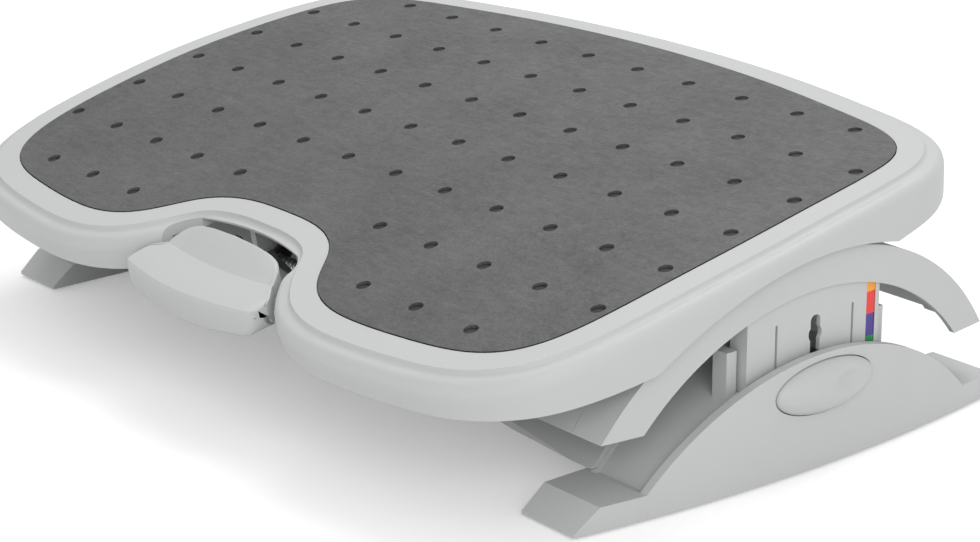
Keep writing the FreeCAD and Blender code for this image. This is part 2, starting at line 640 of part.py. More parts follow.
# The edge of the shell from its foot to the groove: distance from the mat's edge, depth below the crown.
EDGE_PROFILE = [
    (22.6, 34), (23.6, 22), (24.5, 11), (24.3, 7.4), (23.4, 4.8), (21.9, 3.1), (20.1, 2.3),
    (18.3, 2.5), (16.6, 2.7), (15.2, 1.9), (14.4, 0.3), (13.9, -3),
]


def smooth_stack(curves):
    """A solid whose side follows a stack of closed curves, with flat ends."""
    count = len(curves)
    surface = Part.BSplineSurface()
    first = curves[0]
    knots = [i / (count - 3) for i in range(count - 2)]
    mults = [4] + [1] * (count - 4) + [4]
    net = [list(column) for column in zip(*[curve.getPoles() for curve in curves])]
    surface.buildFromPolesMultsKnots(net, first.getMultiplicities(), mults, first.getKnots(), knots, True, False, first.Degree, 3)
    side = surface.toShape()
    ends = []
    for edge in side.Edges:
        if edge.isClosed() and edge.BoundBox.ZLength < 0.01:
            ends.append(Part.Face(Part.Wire(edge)))
    solid = Part.Solid(Part.Shell([side] + ends))
    solid.fix(0.01, 0.01, 0.01)
    if solid.Volume < 0:
        solid.reverse()
    return solid


def pedal_outline(grow):
    """Plan of the pedal, with its flat back and its bowed front, moved outwards by grow."""
    half = val("pedal_half") + grow
    back = -val("pedal_back") + grow
    front = -val("pedal_front") - grow
    bow = val("pedal_bow")
    middle = (back + front) / 2
    stations = [
        (-half * 0.8, back - bow * 0.5), (0, back), (half * 0.8, back - bow * 0.5), (half * 0.955, back - bow * 1.25),
        (half, middle), (half * 0.955, front + bow * 1.45), (half * 0.8, front + bow * 0.7), (0, front),
        (-half * 0.8, front + bow * 0.7), (-half * 0.955, front + bow * 1.45), (-half, middle), (-half * 0.955, back - bow * 1.25),
    ]
    spots = [FreeCAD.Vector(x, y, 0) for x, y in stations]
    spots.append(spots[0])
    arcs = [Part.Arc(spots[i], spots[i + 1], spots[i + 2]).toShape() for i in range(0, len(stations), 2)]
    return Part.Wire(arcs)


def pedal_prism(name, grow, low, high):
    """The pedal's plan drawn up between two heights given below the top of the platform."""
    face = Part.Face(pedal_outline(grow))
    face.translate(FreeCAD.Vector(0, 0, val("%s - (%s)" % (TOP_Z, low))))
    return feature(name, face.extrude(FreeCAD.Vector(0, 0, val("(%s) - (%s)" % (low, high)))))


def platform_shell():
    top = val("top_radius")
    reach = val("shell_reach") / EDGE_PROFILE[2][0]
    curves = [offset_curve(EDGE_PROFILE[0][0] * reach - 1, top - 75)]
    for distance, depth in EDGE_PROFILE:
        curves.append(offset_curve(distance * reach, top - depth, crowned=True))
    curves.append(offset_curve(EDGE_PROFILE[-1][0] * reach - 0.5, top + 25))
    blank = feature("shell_blank", smooth_stack(curves))
    solid = common("shell_solid", blank, crown_space("shell_crown", "0"))
    below = crown_space("shell_foot", "shell_deep")
    inner_edge = common("shell_inner_edge", prism("shell_inner_edge_space", 19.8 * reach, top - 120, top), crown_space("shell_inner_edge_top", "9"))
    inner_top = common("shell_inner_top", prism("shell_inner_top_space", 11 * reach, top - 120, top), crown_space("shell_inner_top_top", "shell_wall + 0"))
    recess = cut("mat_recess", prism("mat_recess_space", 0, top - 20, top + 10), crown_space("mat_recess_floor", "mat_thick - mat_proud"))
    arch = rod("skirt_arch", "x", "arch_outer + 0.8", "-400", "400", "0", "pivot_z")
    trimmed = solid
    for tool in (below, inner_edge, inner_top, recess, arch):
        trimmed = cut("shell_less_" + tool.Name, trimmed, tool)
    ribs = []
    for flip in (-1, 1):
        for side in (-1, 1):
            place = "%d * (guide_x + %d * rib_x)" % (flip, side)
            ribs.append(box("rib_%d%d" % (flip + 1, side + 1), "%s - rib_thick / 2" % place, "%s + rib_thick / 2" % place, "-rib_reach", "rib_reach", "0", "200"))
    for side in (-1, 1):
        ribs.append(box("middle_rib_%d" % (side + 1), "%d * 40 - rib_thick / 2" % side, "%d * 40 + rib_thick / 2" % side, "-(rib_reach + 15)", "rib_reach + 15", "0", "200"))
    rib_space = common("rib_space", fuse("rib_all", *ribs), crown_space("rib_top", "shell_wall - 0.5"))
    rib_set = cut("rib_set", rib_space, rod("rib_arc", "x", "arch_outer + ride_gap", "-400", "400", "0", "pivot_z"))
    bosses = []
    for flip in (-1, 1):
        for side in (-1, 1):
            bosses.append(radial_rod("shoe_boss_%d%d" % (flip + 1, side + 1), flip, side, "guide_boss / 2", "%s - ride_gap" % DECK_UNDER, "top_radius + 8"))
    holes = []
    for flip in (-1, 1):
        for side in (-1, 1):
            holes.append(radial_rod("shoe_hole_%d%d" % (flip + 1, side + 1), flip, side, "screw_shank / 2", "%s - 5" % DECK_UNDER, "arch_outer + 5"))
    ears = []
    for flip in (-1, 1):
        edges = ("ear_x - ear_thick", "ear_x") if flip > 0 else ("-ear_x", "-ear_x + ear_thick")
        profile = [("-hinge_y - 7", "%s + 1" % HINGE_Z), ("-hinge_y - 4", "%s - 6" % HINGE_Z), ("-hinge_y + 4", "%s - 6" % HINGE_Z), ("-hinge_y + 11", "%s - 4" % TOP_Z), ("-hinge_y + 11", "%s - 3" % TOP_Z), ("-hinge_y - 7", "%s - 7" % TOP_Z)]
        ears.append(plate("ear_%d" % (flip + 1), profile, *edges))
    ear_set = common("ear_set", fuse("ear_pair", *ears), crown_space("ear_top", "shell_wall - 0.5"))
    boss_set = common("boss_set", fuse("boss_all", *bosses), crown_space("boss_top", "shell_wall - 0.5"))
    solid = fuse("shell_body", trimmed, rib_set, ear_set, boss_set)
    opening = pedal_prism("pedal_opening", 0.7, "80", "-20")
    room = box("lever_room", "-46", "46", "-(pedal_back + 12)", "-(pedal_back - 6)", "0", "%s - 9.5" % TOP_Z)
    pin_hole = rod("hinge_hole", "x", "hinge_pin / 2", "-60", "60", "-hinge_y", HINGE_Z)
    return cut("shell", solid, opening, room, pin_hole, *holes)


def radial_rod(name, flip, side, radius, start, end):
    """A cylinder pointing at the pivot line, at a glide shoe's place."""
    solid = doc.addObject("Part::Cylinder", name)
    bind(solid, Radius=radius, Height="(%s) - (%s)" % (end, start))
    solid.Placement = FreeCAD.Placement(FreeCAD.Vector(), FreeCAD.Rotation(FreeCAD.Vector(-side, 0, 0), 10))
    solid.setExpression("Placement.Rotation.Angle", ex("shoe_angle"))
    return at(solid, "%d * guide_x" % flip, "%d * (%s) * sin(shoe_angle * 1 deg)" % (side, start), "pivot_z + (%s) * cos(shoe_angle * 1 deg)" % start)


def glide_parts():
    """The shoes under the deck, and the screws that hold them to the platform."""
    shoes = []
    screws = []
    outer = "(%s - ride_gap)" % DECK_UNDER
    inner = "(%s - ride_gap - shoe_thick)" % DECK_UNDER
    for flip in (-1, 1):
        place = "%d * guide_x" % flip
        for side in (-1, 1):
            tag = "%d%d" % (flip + 1, side + 1)
            sector = [("0", "pivot_z")]
            for edge in ("shoe_angle - shoe_half", "shoe_angle + shoe_half"):
                sector.append(("%d * 300 * sin((%s) * 1 deg)" % (side, edge), "pivot_z + 300 * cos((%s) * 1 deg)" % edge))
            block = common("shoe_" + tag, ring("shoe_hoop_" + tag, inner, outer, "%s - shoe_wide / 2" % place, "%s + shoe_wide / 2" % place), plate("shoe_sector_" + tag, sector, "%s - shoe_wide / 2" % place, "%s + shoe_wide / 2" % place))
            shoes.append(cut("shoe_drilled_" + tag, block, radial_rod("shoe_drill_" + tag, flip, side, "screw_shank / 2", "%s - 6" % inner, "%s + 6" % outer)))
            head = radial_rod("glide_head_" + tag, flip, side, "screw_head / 2", "%s - screw_rise" % inner, "%s - 0.15" % inner)
            socket = radial_rod("glide_socket_" + tag, flip, side, "1.2", "%s - screw_rise - 1" % inner, "%s - 0.9" % inner)
            shank = radial_rod("glide_shank_" + tag, flip, side, "screw_shank / 2 - seat_gap", "%s - 0.2" % inner, "arch_outer + 4.5")
            screws.append(cut("glide_screw_" + tag, fuse("glide_screw_solid_" + tag, head, shank), socket))
    return group("shoes", *shoes), group("glide_screw_set", *screws)


def foot_mat():
    top = val("top_radius")
    sheet = common("mat_sheet", prism("mat_space", -val("mat_gap"), top - 20, top + 10), crown_space("mat_top", "-mat_proud"))
    sheet = cut("mat_blank", sheet, crown_space("mat_under", "mat_thick - mat_proud - seat_gap"))
    holes = []
    for row, low, high in ((3, 0, 4), (2, 0, 5), (1, 0, 5), (0, 0, 5), (-1, 0, 5), (-2, 1, 5), (-3, 2, 4)):
        for column in range(low, high + 1):
            for flip in (-1, 1):
                x = flip * (column + 0.5) * val("hole_pitch")
                y = row * val("row_pitch")
                holes.append(Part.makeCylinder(val("hole_size / 2"), 12, FreeCAD.Vector(x, y, val(TOP_Z) + val("mat_proud - hole_deep") - y ** 2 / (2 * val("crown")))))
    return cut("mat", sheet, feature("mat_holes", Part.makeCompound(holes)))


shell = platform_shell()
shoes, glide_screws = glide_parts()
piece("platform_shell", shell, True)
piece("foot_mat", foot_mat(), True)
piece("glide_shoes", shoes, True)
piece("glide_screws", glide_screws, True)


# The pedal, its hinge and the brake that it lifts.

def foot_pedal():
    blank = common("pedal_blank", pedal_prism("pedal_block", 0, "pedal_deep", "-1"), rod("pedal_belly", "y", "82", "-300", "0", "0", "%s - pedal_deep + 82" % TOP_Z))
    tread = "%s - tread_drop" % TOP_Z
    front = cut(
        "tread_space",
        box("tread_box", "-200", "200", "-300", "-pedal_back - 4", tread, "300"),
        rod("wall_front", "z", "260", "-50", "400", "0", "-pedal_back - 4 + 254"),
    )
    crest = cut(
        "crest_space",
        box("crest_box", "-200", "200", "-300", "0", tread, "300"),
        rod("wall_crest", "y", "130", "-400", "100", "0", "%s + 0.5 - 130" % TOP_Z),
    )
    hollow = common(
        "pedal_hollow",
        pedal_prism("pedal_hollow_block", -2.6, "pedal_deep + 5", "tread_drop + tread_thick"),
        rod("pedal_hollow_belly", "y", "79.4", "-400", "100", "0", "%s - pedal_deep + 82" % TOP_Z),
    )
    skirt = box("pedal_skirt_cut", "-40", "40", "-pedal_back - 3.5", "0", "-100", "%s - tread_drop - tread_thick" % TOP_Z)
    body = blank
    for tool in (front, crest, hollow, skirt):
        body = cut("pedal_less_" + tool.Name, body, tool)
    return body


def lock_lever():
    arms = []
    tread = "%s - tread_drop - tread_thick" % TOP_Z
    profile = [
        ("-pedal_back - 24", tread), ("-pedal_back - 3", tread), ("-hinge_y - 8", "%s + 2" % HINGE_Z), ("-hinge_y + 5", "%s + 6" % HINGE_Z),
        ("-pad_far + 3", "%s + 20" % HINGE_Z), ("-pad_near", "%s + 20" % HINGE_Z), ("-pad_near", "%s + 12" % HINGE_Z), ("-pad_far", "%s + 4" % HINGE_Z),
        ("-hinge_y + 4", "%s - 6" % HINGE_Z), ("-hinge_y - 4", "%s - 6" % HINGE_Z), ("-pedal_back - 4", "%s - 8" % tread), ("-pedal_back - 24", "%s - 6" % tread),
    ]
    for flip in (-1, 1):
        edges = ("arm_x - arm_thick", "arm_x") if flip > 0 else ("-arm_x", "-arm_x + arm_thick")
        arms.append(plate("arm_%d" % (flip + 1), profile, *edges))
    carrier = common(
        "pad_carrier",
        ring("carrier_hoop", "arch_outer + track_thick + ride_gap + pad_thick", "arch_outer + track_thick + ride_gap + pad_thick + 4", "-arm_x + 1", "arm_x - 1"),
        box("carrier_space", "-100", "100", "-pad_far", "-pad_near", "0", "200"),
    )
    web = box("lever_web", "-arm_x + 1", "arm_x - 1", "-pedal_back - 24", "-pedal_back - 8", "%s - 3" % tread, tread)
    drilled = cut("lever", fuse("lever_solid", *arms, carrier, web), rod("lever_hole", "x", "hinge_pin / 2 + pin_gap", "-60", "60", "-hinge_y", HINGE_Z))
    return drilled


def brake_pad():
    return common(
        "pad",
        ring("pad_hoop", "arch_outer + track_thick + ride_gap", "arch_outer + track_thick + ride_gap + pad_thick - seat_gap", "-arm_x + arm_thick + 0.3", "arm_x - arm_thick - 0.3"),
        box("pad_space", "-100", "100", "-pad_far", "-pad_near", "0", "200"),
    )


def hinge_coil():
    """The pedal's return spring, wound round the hinge pin between the lever's arms."""
    width = val("2 * (arm_x - arm_thick) - 1.6")
    path = Part.makeHelix(width / 7, width, 3.6)
    section = Part.Wire(Part.Circle(FreeCAD.Vector(3.6, 0, 0), Y_AXIS, 0.6).toShape())
    obj = feature("hinge_coil", Part.Wire(path.Edges).makePipeShell([section], True, True))
    return at(aim(obj, X_AXIS), "-(arm_x - arm_thick) + 0.8", "-hinge_y", HINGE_Z)


hinge_rod = cut(
    "hinge_rod",
    fuse("hinge_rod_solid", rod("hinge_rod_shank", "x", "hinge_pin / 2", "-ear_x - 2", "ear_x + 2", "-hinge_y", HINGE_Z), rod("hinge_rod_head", "x", "hinge_pin / 2 + 1.6", "ear_x", "ear_x + 2", "-hinge_y", HINGE_Z)),
    rod("hinge_rod_mark", "x", "1", "ear_x + 1.2", "ear_x + 5", "-hinge_y", HINGE_Z),
)
piece("pedal_pin", hinge_rod, True)
piece("pedal_spring", hinge_coil(), True)
piece("foot_pedal", foot_pedal(), True)
piece("lock_lever", lock_lever(), True)
piece("brake_pad", brake_pad(), True)

# The finished pieces are checked and written.

doc.recompute()
faults = []
for obj in doc.Objects:
    if "Invalid" in obj.State or "Error" in obj.State:
        faults.append("%s did not build: %s" % (obj.Name, obj.State))
for obj in pieces:
    if obj.Shape.isNull() or not obj.Shape.Solids or not obj.Shape.isValid():
        faults.append("%s has no sound shape" % obj.Label)
if faults:
    raise RuntimeError("; ".join(faults))
box_all = FreeCAD.BoundBox()
for obj in pieces:
    box_all.add(obj.Shape.optimalBoundingBox(False, False))
sizes.set("B%d" % CENTRE_ROW, "%.4f" % (-(box_all.YMin + box_all.YMax) / 2))
doc.recompute()
print("centre_shift %.4f" % val("centre_shift"))
os.makedirs("parts", exist_ok=True)
for obj in pieces:
    obj.Shape.exportStep("parts/%s.step" % obj.Label)
    print("%-20s solids %d volume %.0f" % (obj.Label, len(obj.Shape.Solids), obj.Shape.Volume))
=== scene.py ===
import json
import math

import bpy
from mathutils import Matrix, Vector
from mathutils.kdtree import KDTree


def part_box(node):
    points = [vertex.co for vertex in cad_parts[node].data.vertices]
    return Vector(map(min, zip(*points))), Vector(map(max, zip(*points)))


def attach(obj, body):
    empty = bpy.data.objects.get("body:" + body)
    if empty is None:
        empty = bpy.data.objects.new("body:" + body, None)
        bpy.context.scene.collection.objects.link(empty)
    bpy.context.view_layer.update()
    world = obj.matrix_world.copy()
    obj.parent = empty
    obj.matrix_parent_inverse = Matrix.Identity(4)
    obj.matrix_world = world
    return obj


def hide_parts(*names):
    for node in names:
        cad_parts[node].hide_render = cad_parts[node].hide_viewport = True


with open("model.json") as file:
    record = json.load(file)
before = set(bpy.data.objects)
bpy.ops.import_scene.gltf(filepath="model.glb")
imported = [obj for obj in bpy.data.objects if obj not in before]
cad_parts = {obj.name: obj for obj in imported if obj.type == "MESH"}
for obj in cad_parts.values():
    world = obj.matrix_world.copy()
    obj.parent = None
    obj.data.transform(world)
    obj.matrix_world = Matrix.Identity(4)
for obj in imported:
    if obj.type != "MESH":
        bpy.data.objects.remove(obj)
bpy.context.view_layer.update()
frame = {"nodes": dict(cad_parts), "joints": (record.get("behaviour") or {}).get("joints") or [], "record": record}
NODES = frame["nodes"]

# The camera of the photograph, in metres and degrees.
CAMERA_PLACE = (1.1703, -0.9361, 0.5475)
CAMERA_TURN = (71.343, 0.2555, 50.388)
CAMERA_LENS = 99.1
SENSOR_WIDTH = 36.0

# Colours, as linear red, green and blue.
LIGHT_GREY = (0.515, 0.522, 0.522)
BUTTON_GREY = (0.50, 0.507, 0.507)
MAT_GREY = (0.088, 0.088, 0.089)
DARK_PLASTIC = (0.030, 0.031, 0.033)
BLACK_RUBBER = (0.018, 0.018, 0.019)
STEEL = (0.60, 0.60, 0.61)
YELLOW = (0.86, 0.34, 0.025)
RED = (0.76, 0.035, 0.03)
BLUE = (0.055, 0.03, 0.25)
GREEN = (0.012, 0.26, 0.075)
WHITE = (0.80, 0.80, 0.80)

# Light that the floor adds to what the camera sees, so that it reads white with a soft shadow.
FLOOR_GLOW = 0.32


class Nodes:
    """A material's node tree, written one line per node."""

    def __init__(self, name):
        self.material = bpy.data.materials.new(name)
        self.material.use_nodes = True
        self.tree = self.material.node_tree
        self.shader = self.tree.nodes["Principled BSDF"]
        self.output = self.tree.nodes["Material Output"]
        self.place = self.tree.nodes.new("ShaderNodeTexCoord").outputs["Object"]

    def link(self, out, socket):
        self.tree.links.new(out, socket)

    def noise(self, scale, detail=3.0, rough=0.5, stretch=None):
        node = self.tree.nodes.new("ShaderNodeTexNoise")
        node.inputs["Scale"].default_value = scale
        node.inputs["Detail"].default_value = detail
        node.inputs["Roughness"].default_value = rough
        place = self.place
        if stretch:
            mapping = self.tree.nodes.new("ShaderNodeMapping")
            mapping.inputs["Scale"].default_value = stretch
            self.link(place, mapping.inputs["Vector"])
            place = mapping.outputs["Vector"]
        self.link(place, node.inputs["Vector"])
        return node.outputs["Fac"]

    def cells(self, scale, feature="F1"):
        node = self.tree.nodes.new("ShaderNodeTexVoronoi")
        node.feature = feature
        node.inputs["Scale"].default_value = scale
        self.link(self.place, node.inputs["Vector"])
        return node.outputs["Distance"]

    def spread(self, value, low, high, start=0.3, end=0.7):
        node = self.tree.nodes.new("ShaderNodeMapRange")
        node.inputs["From Min"].default_value = start
        node.inputs["From Max"].default_value = end
        node.inputs["To Min"].default_value = low
        node.inputs["To Max"].default_value = high
        self.link(value, node.inputs["Value"])
        return node.outputs["Result"]

    def maths(self, kind, a, b):
        node = self.tree.nodes.new("ShaderNodeMath")
        node.operation = kind
        for socket, value in zip(node.inputs, (a, b)):
            if isinstance(value, (int, float)):
                socket.default_value = value
            else:
                self.link(value, socket)
        return node.outputs["Value"]

    def tint(self, value, colour, low, high):
        """The colour, darker and lighter by the two factors as value runs from 0 to 1."""
        node = self.tree.nodes.new("ShaderNodeValToRGB")
        ramp = node.color_ramp.elements
        ramp[0].position = 0.3
        ramp[1].position = 0.7
        ramp[0].color = (*[c * low for c in colour], 1)
        ramp[1].color = (*[c * high for c in colour], 1)
        self.link(value, node.inputs["Fac"])
        self.link(node.outputs["Color"], self.shader.inputs["Base Color"])

    def roughness(self, value, low, high):
        self.link(self.spread(value, low, high), self.shader.inputs["Roughness"])

    def bump(self, height, strength, distance):
        node = self.tree.nodes.new("ShaderNodeBump")
        node.inputs["Strength"].default_value = strength
        node.inputs["Distance"].default_value = distance
        self.link(height, node.inputs["Height"])
        self.link(node.outputs["Normal"], self.shader.inputs["Normal"])


def moulded_plastic(name, colour, rough=0.5):
    """Matt moulded plastic with a fine spark-eroded grain."""
    m = Nodes(name)
    m.tint(m.noise(9.0, 4.0), colour, 0.985, 1.012)
    m.roughness(m.noise(60.0, 4.0), rough - 0.04, rough + 0.05)
    grain = m.noise(1500.0, 2.0, 0.6)
    m.bump(grain, 0.12, 0.00012)
    m.shader.inputs["IOR"].default_value = 1.45
    m.shader.inputs["Specular IOR Level"].default_value = 0.42
    return m.material


def mat_rubber():
    """Dark grey rubber with a pebbled grain and paler specks, the specks a painted highlight on the raised grain
    where it catches light.
    """
    m = Nodes("mat_rubber_look")
    patches = m.noise(14.0, 5.0, 0.6)
    # Specks raised in the grain, and painted paler there as a highlight where they catch light.
    raised_lit_specks = m.noise(520.0, 3.0, 0.7)
    streaks = m.noise(260.0, 2.0, 0.5, stretch=(0.25, 1.0, 1.0))
    # The tone is random patches and streaks, plus the painted speck highlights.
    mixed = m.maths("ADD", m.maths("MULTIPLY", patches, 0.34), m.maths("MULTIPLY", raised_lit_specks, 0.44))
    mixed = m.maths("ADD", mixed, m.maths("MULTIPLY", streaks, 0.22))
    m.tint(mixed, MAT_GREY, 0.55, 1.55)
    m.roughness(m.noise(180.0, 3.0), 0.5, 0.68)
    pebble = m.cells(620.0, "SMOOTH_F1")
    height = m.maths("ADD", m.maths("MULTIPLY", pebble, 0.8), m.maths("MULTIPLY", raised_lit_specks, 0.5))
    m.bump(height, 0.5, 0.0006)
    m.shader.inputs["Specular IOR Level"].default_value = 0.45
    return m.material


def dark_rubber(name):
    m = Nodes(name)
    m.tint(m.noise(40.0, 4.0), BLACK_RUBBER, 0.8, 1.3)
    m.roughness(m.noise(200.0), 0.6, 0.75)
    m.bump(m.noise(900.0, 2.0), 0.3, 0.0002)
    return m.material


def dark_plastic():
    m = Nodes("dark_plastic_look")
    m.tint(m.noise(30.0, 4.0), DARK_PLASTIC, 0.85, 1.25)
    m.roughness(m.noise(120.0), 0.4, 0.55)
    m.bump(m.noise(1200.0, 2.0), 0.2, 0.00015)
    return m.material


def bright_steel():
    m = Nodes("steel_look")
    drawn = m.noise(900.0, 3.0, 0.6, stretch=(0.05, 1.0, 1.0))
    m.tint(drawn, STEEL, 0.88, 1.06)
    m.roughness(drawn, 0.22, 0.38)
    m.bump(drawn, 0.1, 0.00008)
    m.shader.inputs["Metallic"].default_value = 1.0
    return m.material


def strip_plastic(name, colour):
    """The printed film of the height scale."""
    m = Nodes(name)
    m.tint(m.noise(300.0, 3.0), colour, 0.95, 1.05)
    m.roughness(m.noise(150.0), 0.38, 0.5)
    m.bump(m.noise(1400.0, 2.0), 0.08, 0.0001)
    return m.material


LOOKS = {
    "base_plastic": moulded_plastic("base_plastic_look", LIGHT_GREY),
    "riser_plastic": moulded_plastic("riser_plastic_look", LIGHT_GREY),
    "deck_plastic": moulded_plastic("deck_plastic_look", LIGHT_GREY),
    "platform_plastic": moulded_plastic("platform_plastic_look", LIGHT_GREY, 0.48),
    "pedal_plastic": moulded_plastic("pedal_plastic_look", LIGHT_GREY),
    "button_plastic": moulded_plastic("button_plastic_look", BUTTON_GREY, 0.42),
    "mat_rubber": mat_rubber(),
    "feet_rubber": dark_rubber("feet_rubber_look"),
    "pad_rubber": dark_rubber("pad_rubber_look"),
    "lever_plastic": dark_plastic(),
    "steel": bright_steel(),
    "yellow_plastic": strip_plastic("yellow_look", YELLOW),
    "red_plastic": strip_plastic("red_look", RED),
    "blue_plastic": strip_plastic("blue_look", BLUE),
    "green_plastic": strip_plastic("green_look", GREEN),
}

SLOT_OF = {part["node"]: part["material_slot"] for part in frame["record"]["subparts"]}
for node, look in SLOT_OF.items():
    for slot in NODES[node].material_slots:
        slot.material = LOOKS[look]


# Shapes laid out like the platform, in millimetres: x, y and the height over its top.

MM = 0.001
JOINTS = {joint["name"]: joint for joint in frame["joints"]}
PIVOT = Vector(JOINTS["platform_tilt"]["pos_m"])
REST_TILT = math.radians(10.9)
TOP_RADIUS = 184.0
CROWN = 1449.0

# Vertices of the mat below this height over the crown are its bottom edge.
MAT_BOTTOM = -1.9
SPOTS_PER_GAP = 6
CREASE_ANGLE = 32
PEDAL_CREASE_ANGLE = 23


def to_platform(spot):
    """A place in metres as x, y and height over the platform's top, in millimetres."""
    y = (spot[1] - PIVOT.y) / MM
    z = (spot[2] - PIVOT.z) / MM
    depth = y * math.cos(REST_TILT) + z * math.sin(REST_TILT)
    height = z * math.cos(REST_TILT) - y * math.sin(REST_TILT) - TOP_RADIUS
    return spot[0] / MM, depth, height


def from_platform(x, y, height):
    up = height + TOP_RADIUS
    across = y * math.cos(REST_TILT) - up * math.sin(REST_TILT)
    rise = y * math.sin(REST_TILT) + up * math.cos(REST_TILT)
    return Vector((x * MM, PIVOT.y + across * MM, PIVOT.z + rise * MM))


def crown_drop(y):
    return y * y / (2 * CROWN)


def between(value, start, end):
    """0 before start, 1 after end, smooth between them."""
    t = min(max((value - start) / (end - start), 0.0), 1.0)
    return t * t * (3 - 2 * t)


def along(table, value):
    """The height of a chain of straight runs, given as places and heights, at a value."""
    for (x0, y0), (x1, y1) in zip(table, table[1:]):
        if value <= x1:
            return y0 + (y1 - y0) * (value - x0) / (x1 - x0)
    return table[-1][1]


def rounded(share):
    """0 at the start of a quarter circle and 1 at its end."""
    return 1 - math.sqrt(max(1 - share * share, 0))


def outline_tree():
    """Places close together along the mat's outline, for measuring distances to it."""
    rim = set()
    for vertex in NODES["foot_mat"].data.vertices:
        x, y, height = to_platform(vertex.co)
        if height + crown_drop(y) < MAT_BOTTOM:
            rim.add((round(x, 2), round(y, 2)))
    turn = sorted(rim, key=lambda spot: math.atan2(spot[1], spot[0]))
    spots = []
    for here, there in zip(turn, turn[1:] + turn[:1]):
        for i in range(SPOTS_PER_GAP):
            share = i / SPOTS_PER_GAP
            spots.append((here[0] + (there[0] - here[0]) * share, here[1] + (there[1] - here[1]) * share))
    tree = KDTree(len(spots))
    for index, spot in enumerate(spots):
        tree.insert((spot[0], spot[1], 0), index)
    tree.balance()
    return tree


OUTLINE = outline_tree()


def beyond_outline(x, y):
    """Distance to the mat's outline, negative inside it."""
    near, _, distance = OUTLINE.find((x, y, 0))
    inside = math.hypot(x, y) < math.hypot(near.x, near.y)
    return -distance if inside else distance


def new_piece(name, mesh, body, node, crease=CREASE_ANGLE):
    """A piece that stands for a node, with that node's look."""
    piece = bpy.data.objects.new(name, mesh)
    bpy.context.scene.collection.objects.link(piece)
    mesh.shade_smooth()
    mesh.set_sharp_from_angle(angle=math.radians(crease))
    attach(piece, body)
    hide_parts(node)
    mesh.materials.clear()
    mesh.materials.append(LOOKS[SLOT_OF[node]])
    return piece


def reshaped(node, name, body, move):
    """A copy of a node's shape whose vertices are moved by a rule in the platform's own frame."""
    mesh = NODES[node].data.copy()
    for vertex in mesh.vertices:
        vertex.co = from_platform(*move(*to_platform(vertex.co)))
    return new_piece(name, mesh, body, node)


def joined_rings(name, spots, count, outward=True):
    """A closed mesh over rings of count spots each, with a face over the first and the last ring."""
    faces = []
    last = len(spots) - count
    for ring in range(0, last, count):
        for i in range(count):
            k = (i + 1) % count
            faces.append((ring + i, ring + k, ring + count + k, ring + count + i))
    faces.append(tuple(range(count))[::-1])
    faces.append(tuple(range(last, last + count)))
    if not outward:
        faces = [face[::-1] for face in faces]
    mesh = bpy.data.meshes.new(name)
    mesh.from_pydata(spots, [], faces)
    mesh.validate()
    return mesh


# The shell's skirt ends in a level edge, though the top above it is crowned.

SKIRT_EDGE = 33.0
SHOULDER_END = 8.4
EDGE_BAND = (19, 27)
NOTCH_HALF = 60
EARS_HALF = 30
EARS_REAR = -90
SKIRT_START = 8


def outer_depths():
    """Depths below the crown of the shell's outermost vertices, away from the notch."""
    for vertex in NODES["platform_shell"].data.vertices:
        x, y, height = to_platform(vertex.co)
        if abs(x) > NOTCH_HALF and EDGE_BAND[0] < beyond_outline(x, y) < EDGE_BAND[1]:
            yield -height - crown_drop(y)


SKIRT_DEPTH = max(outer_depths())


def shell_vertex(x, y, height):
    depth = -height - crown_drop(y)
    clear_of_ears = abs(x) > EARS_HALF or y > EARS_REAR
    if depth > SHOULDER_END and clear_of_ears and beyond_outline(x, y) > SKIRT_START:
        reach = (SKIRT_EDGE - crown_drop(y) - SHOULDER_END) / (SKIRT_DEPTH - SHOULDER_END)
        height = -crown_drop(y) - SHOULDER_END - (depth - SHOULDER_END) * reach
    return x, y, height


# The mat is black round its edge and on the floors of its holes. At the edge this is the rubber's own dark edge
# with painted shade of the gap beside it; on the hole floors it is painted shade.

EDGE_REACH = -1.5
FLOOR_BELOW = 0.1
LEVEL = 0.5


def black_edge_and_painted_shade(mat):
    mesh = mat.data
    # The dark rubber look carries the mat's dark edge, the painted shade of the gap round it, and the painted
    # shade on the hole floors.
    mesh.materials.append(LOOKS["feet_rubber"])
    up = Vector((0, -math.sin(REST_TILT), math.cos(REST_TILT)))
    for face in mesh.polygons:
        x, y, height = to_platform(face.center)
        rise = height + crown_drop(y)
        level = face.normal.dot(up)
        at_edge = beyond_outline(x, y) > EDGE_REACH and level < LEVEL
        at_floor = rise < FLOOR_BELOW and level > LEVEL
        if at_edge or at_floor:
            face.material_index = 1


reshaped("platform_shell", "shell_skin", "platform", shell_vertex)
black_edge_and_painted_shade(new_piece("mat_sheet", NODES["foot_mat"].data.copy(), "platform", "foot_mat"))


# The pedal: a tread with a rounded front, and a leaning wall with an arched crest behind it.
# Chains of runs give the back's y and the crest's height by the distance from the middle.

PEDAL_HALF = 61.0
PEDAL_FRONT = -188.0
FRONT_BOW = 6.0
FRONT_BOW_AT = 58.0
CORNER = 8.0
CORNER_REACH = 0.85
PEDAL_BACK = [
    (0, -142.5), (36, -143.2), (42, -145), (46, -148.5), (48.5, -153), (51, -157.5), (55, -161),
    (59, -165), (61, -169),
]
CREST = [
    (0, -4.3), (20, -4.8), (32, -6.2), (40, -8.4), (44.5, -10.6), (47, -12.6), (49, -15.3),
    (51, -16.6), (61, -17),
]
CREST_LEAST = 0.05
CREST_THICK = 2.6
WALL_FOOT = -160.5
WALL_BOW = 3.5
WALL_BOW_AT = 48.0
WALL_RISE = 12.0
WALL_SAG = 0.46
WALL_LEAST = 0.6
TREAD_HEIGHT = -16.0
TREAD_SLOPE = 0.102
TREAD_LEAST = 0.4
TREAD_TRIM = 0.3
EDGE_ROUND = 4.0
LENS_MIDDLE = -9.0
LENS_HALF = 25.0
LENS_DEPTH = 2.6
LENS_FULLNESS = 0.7
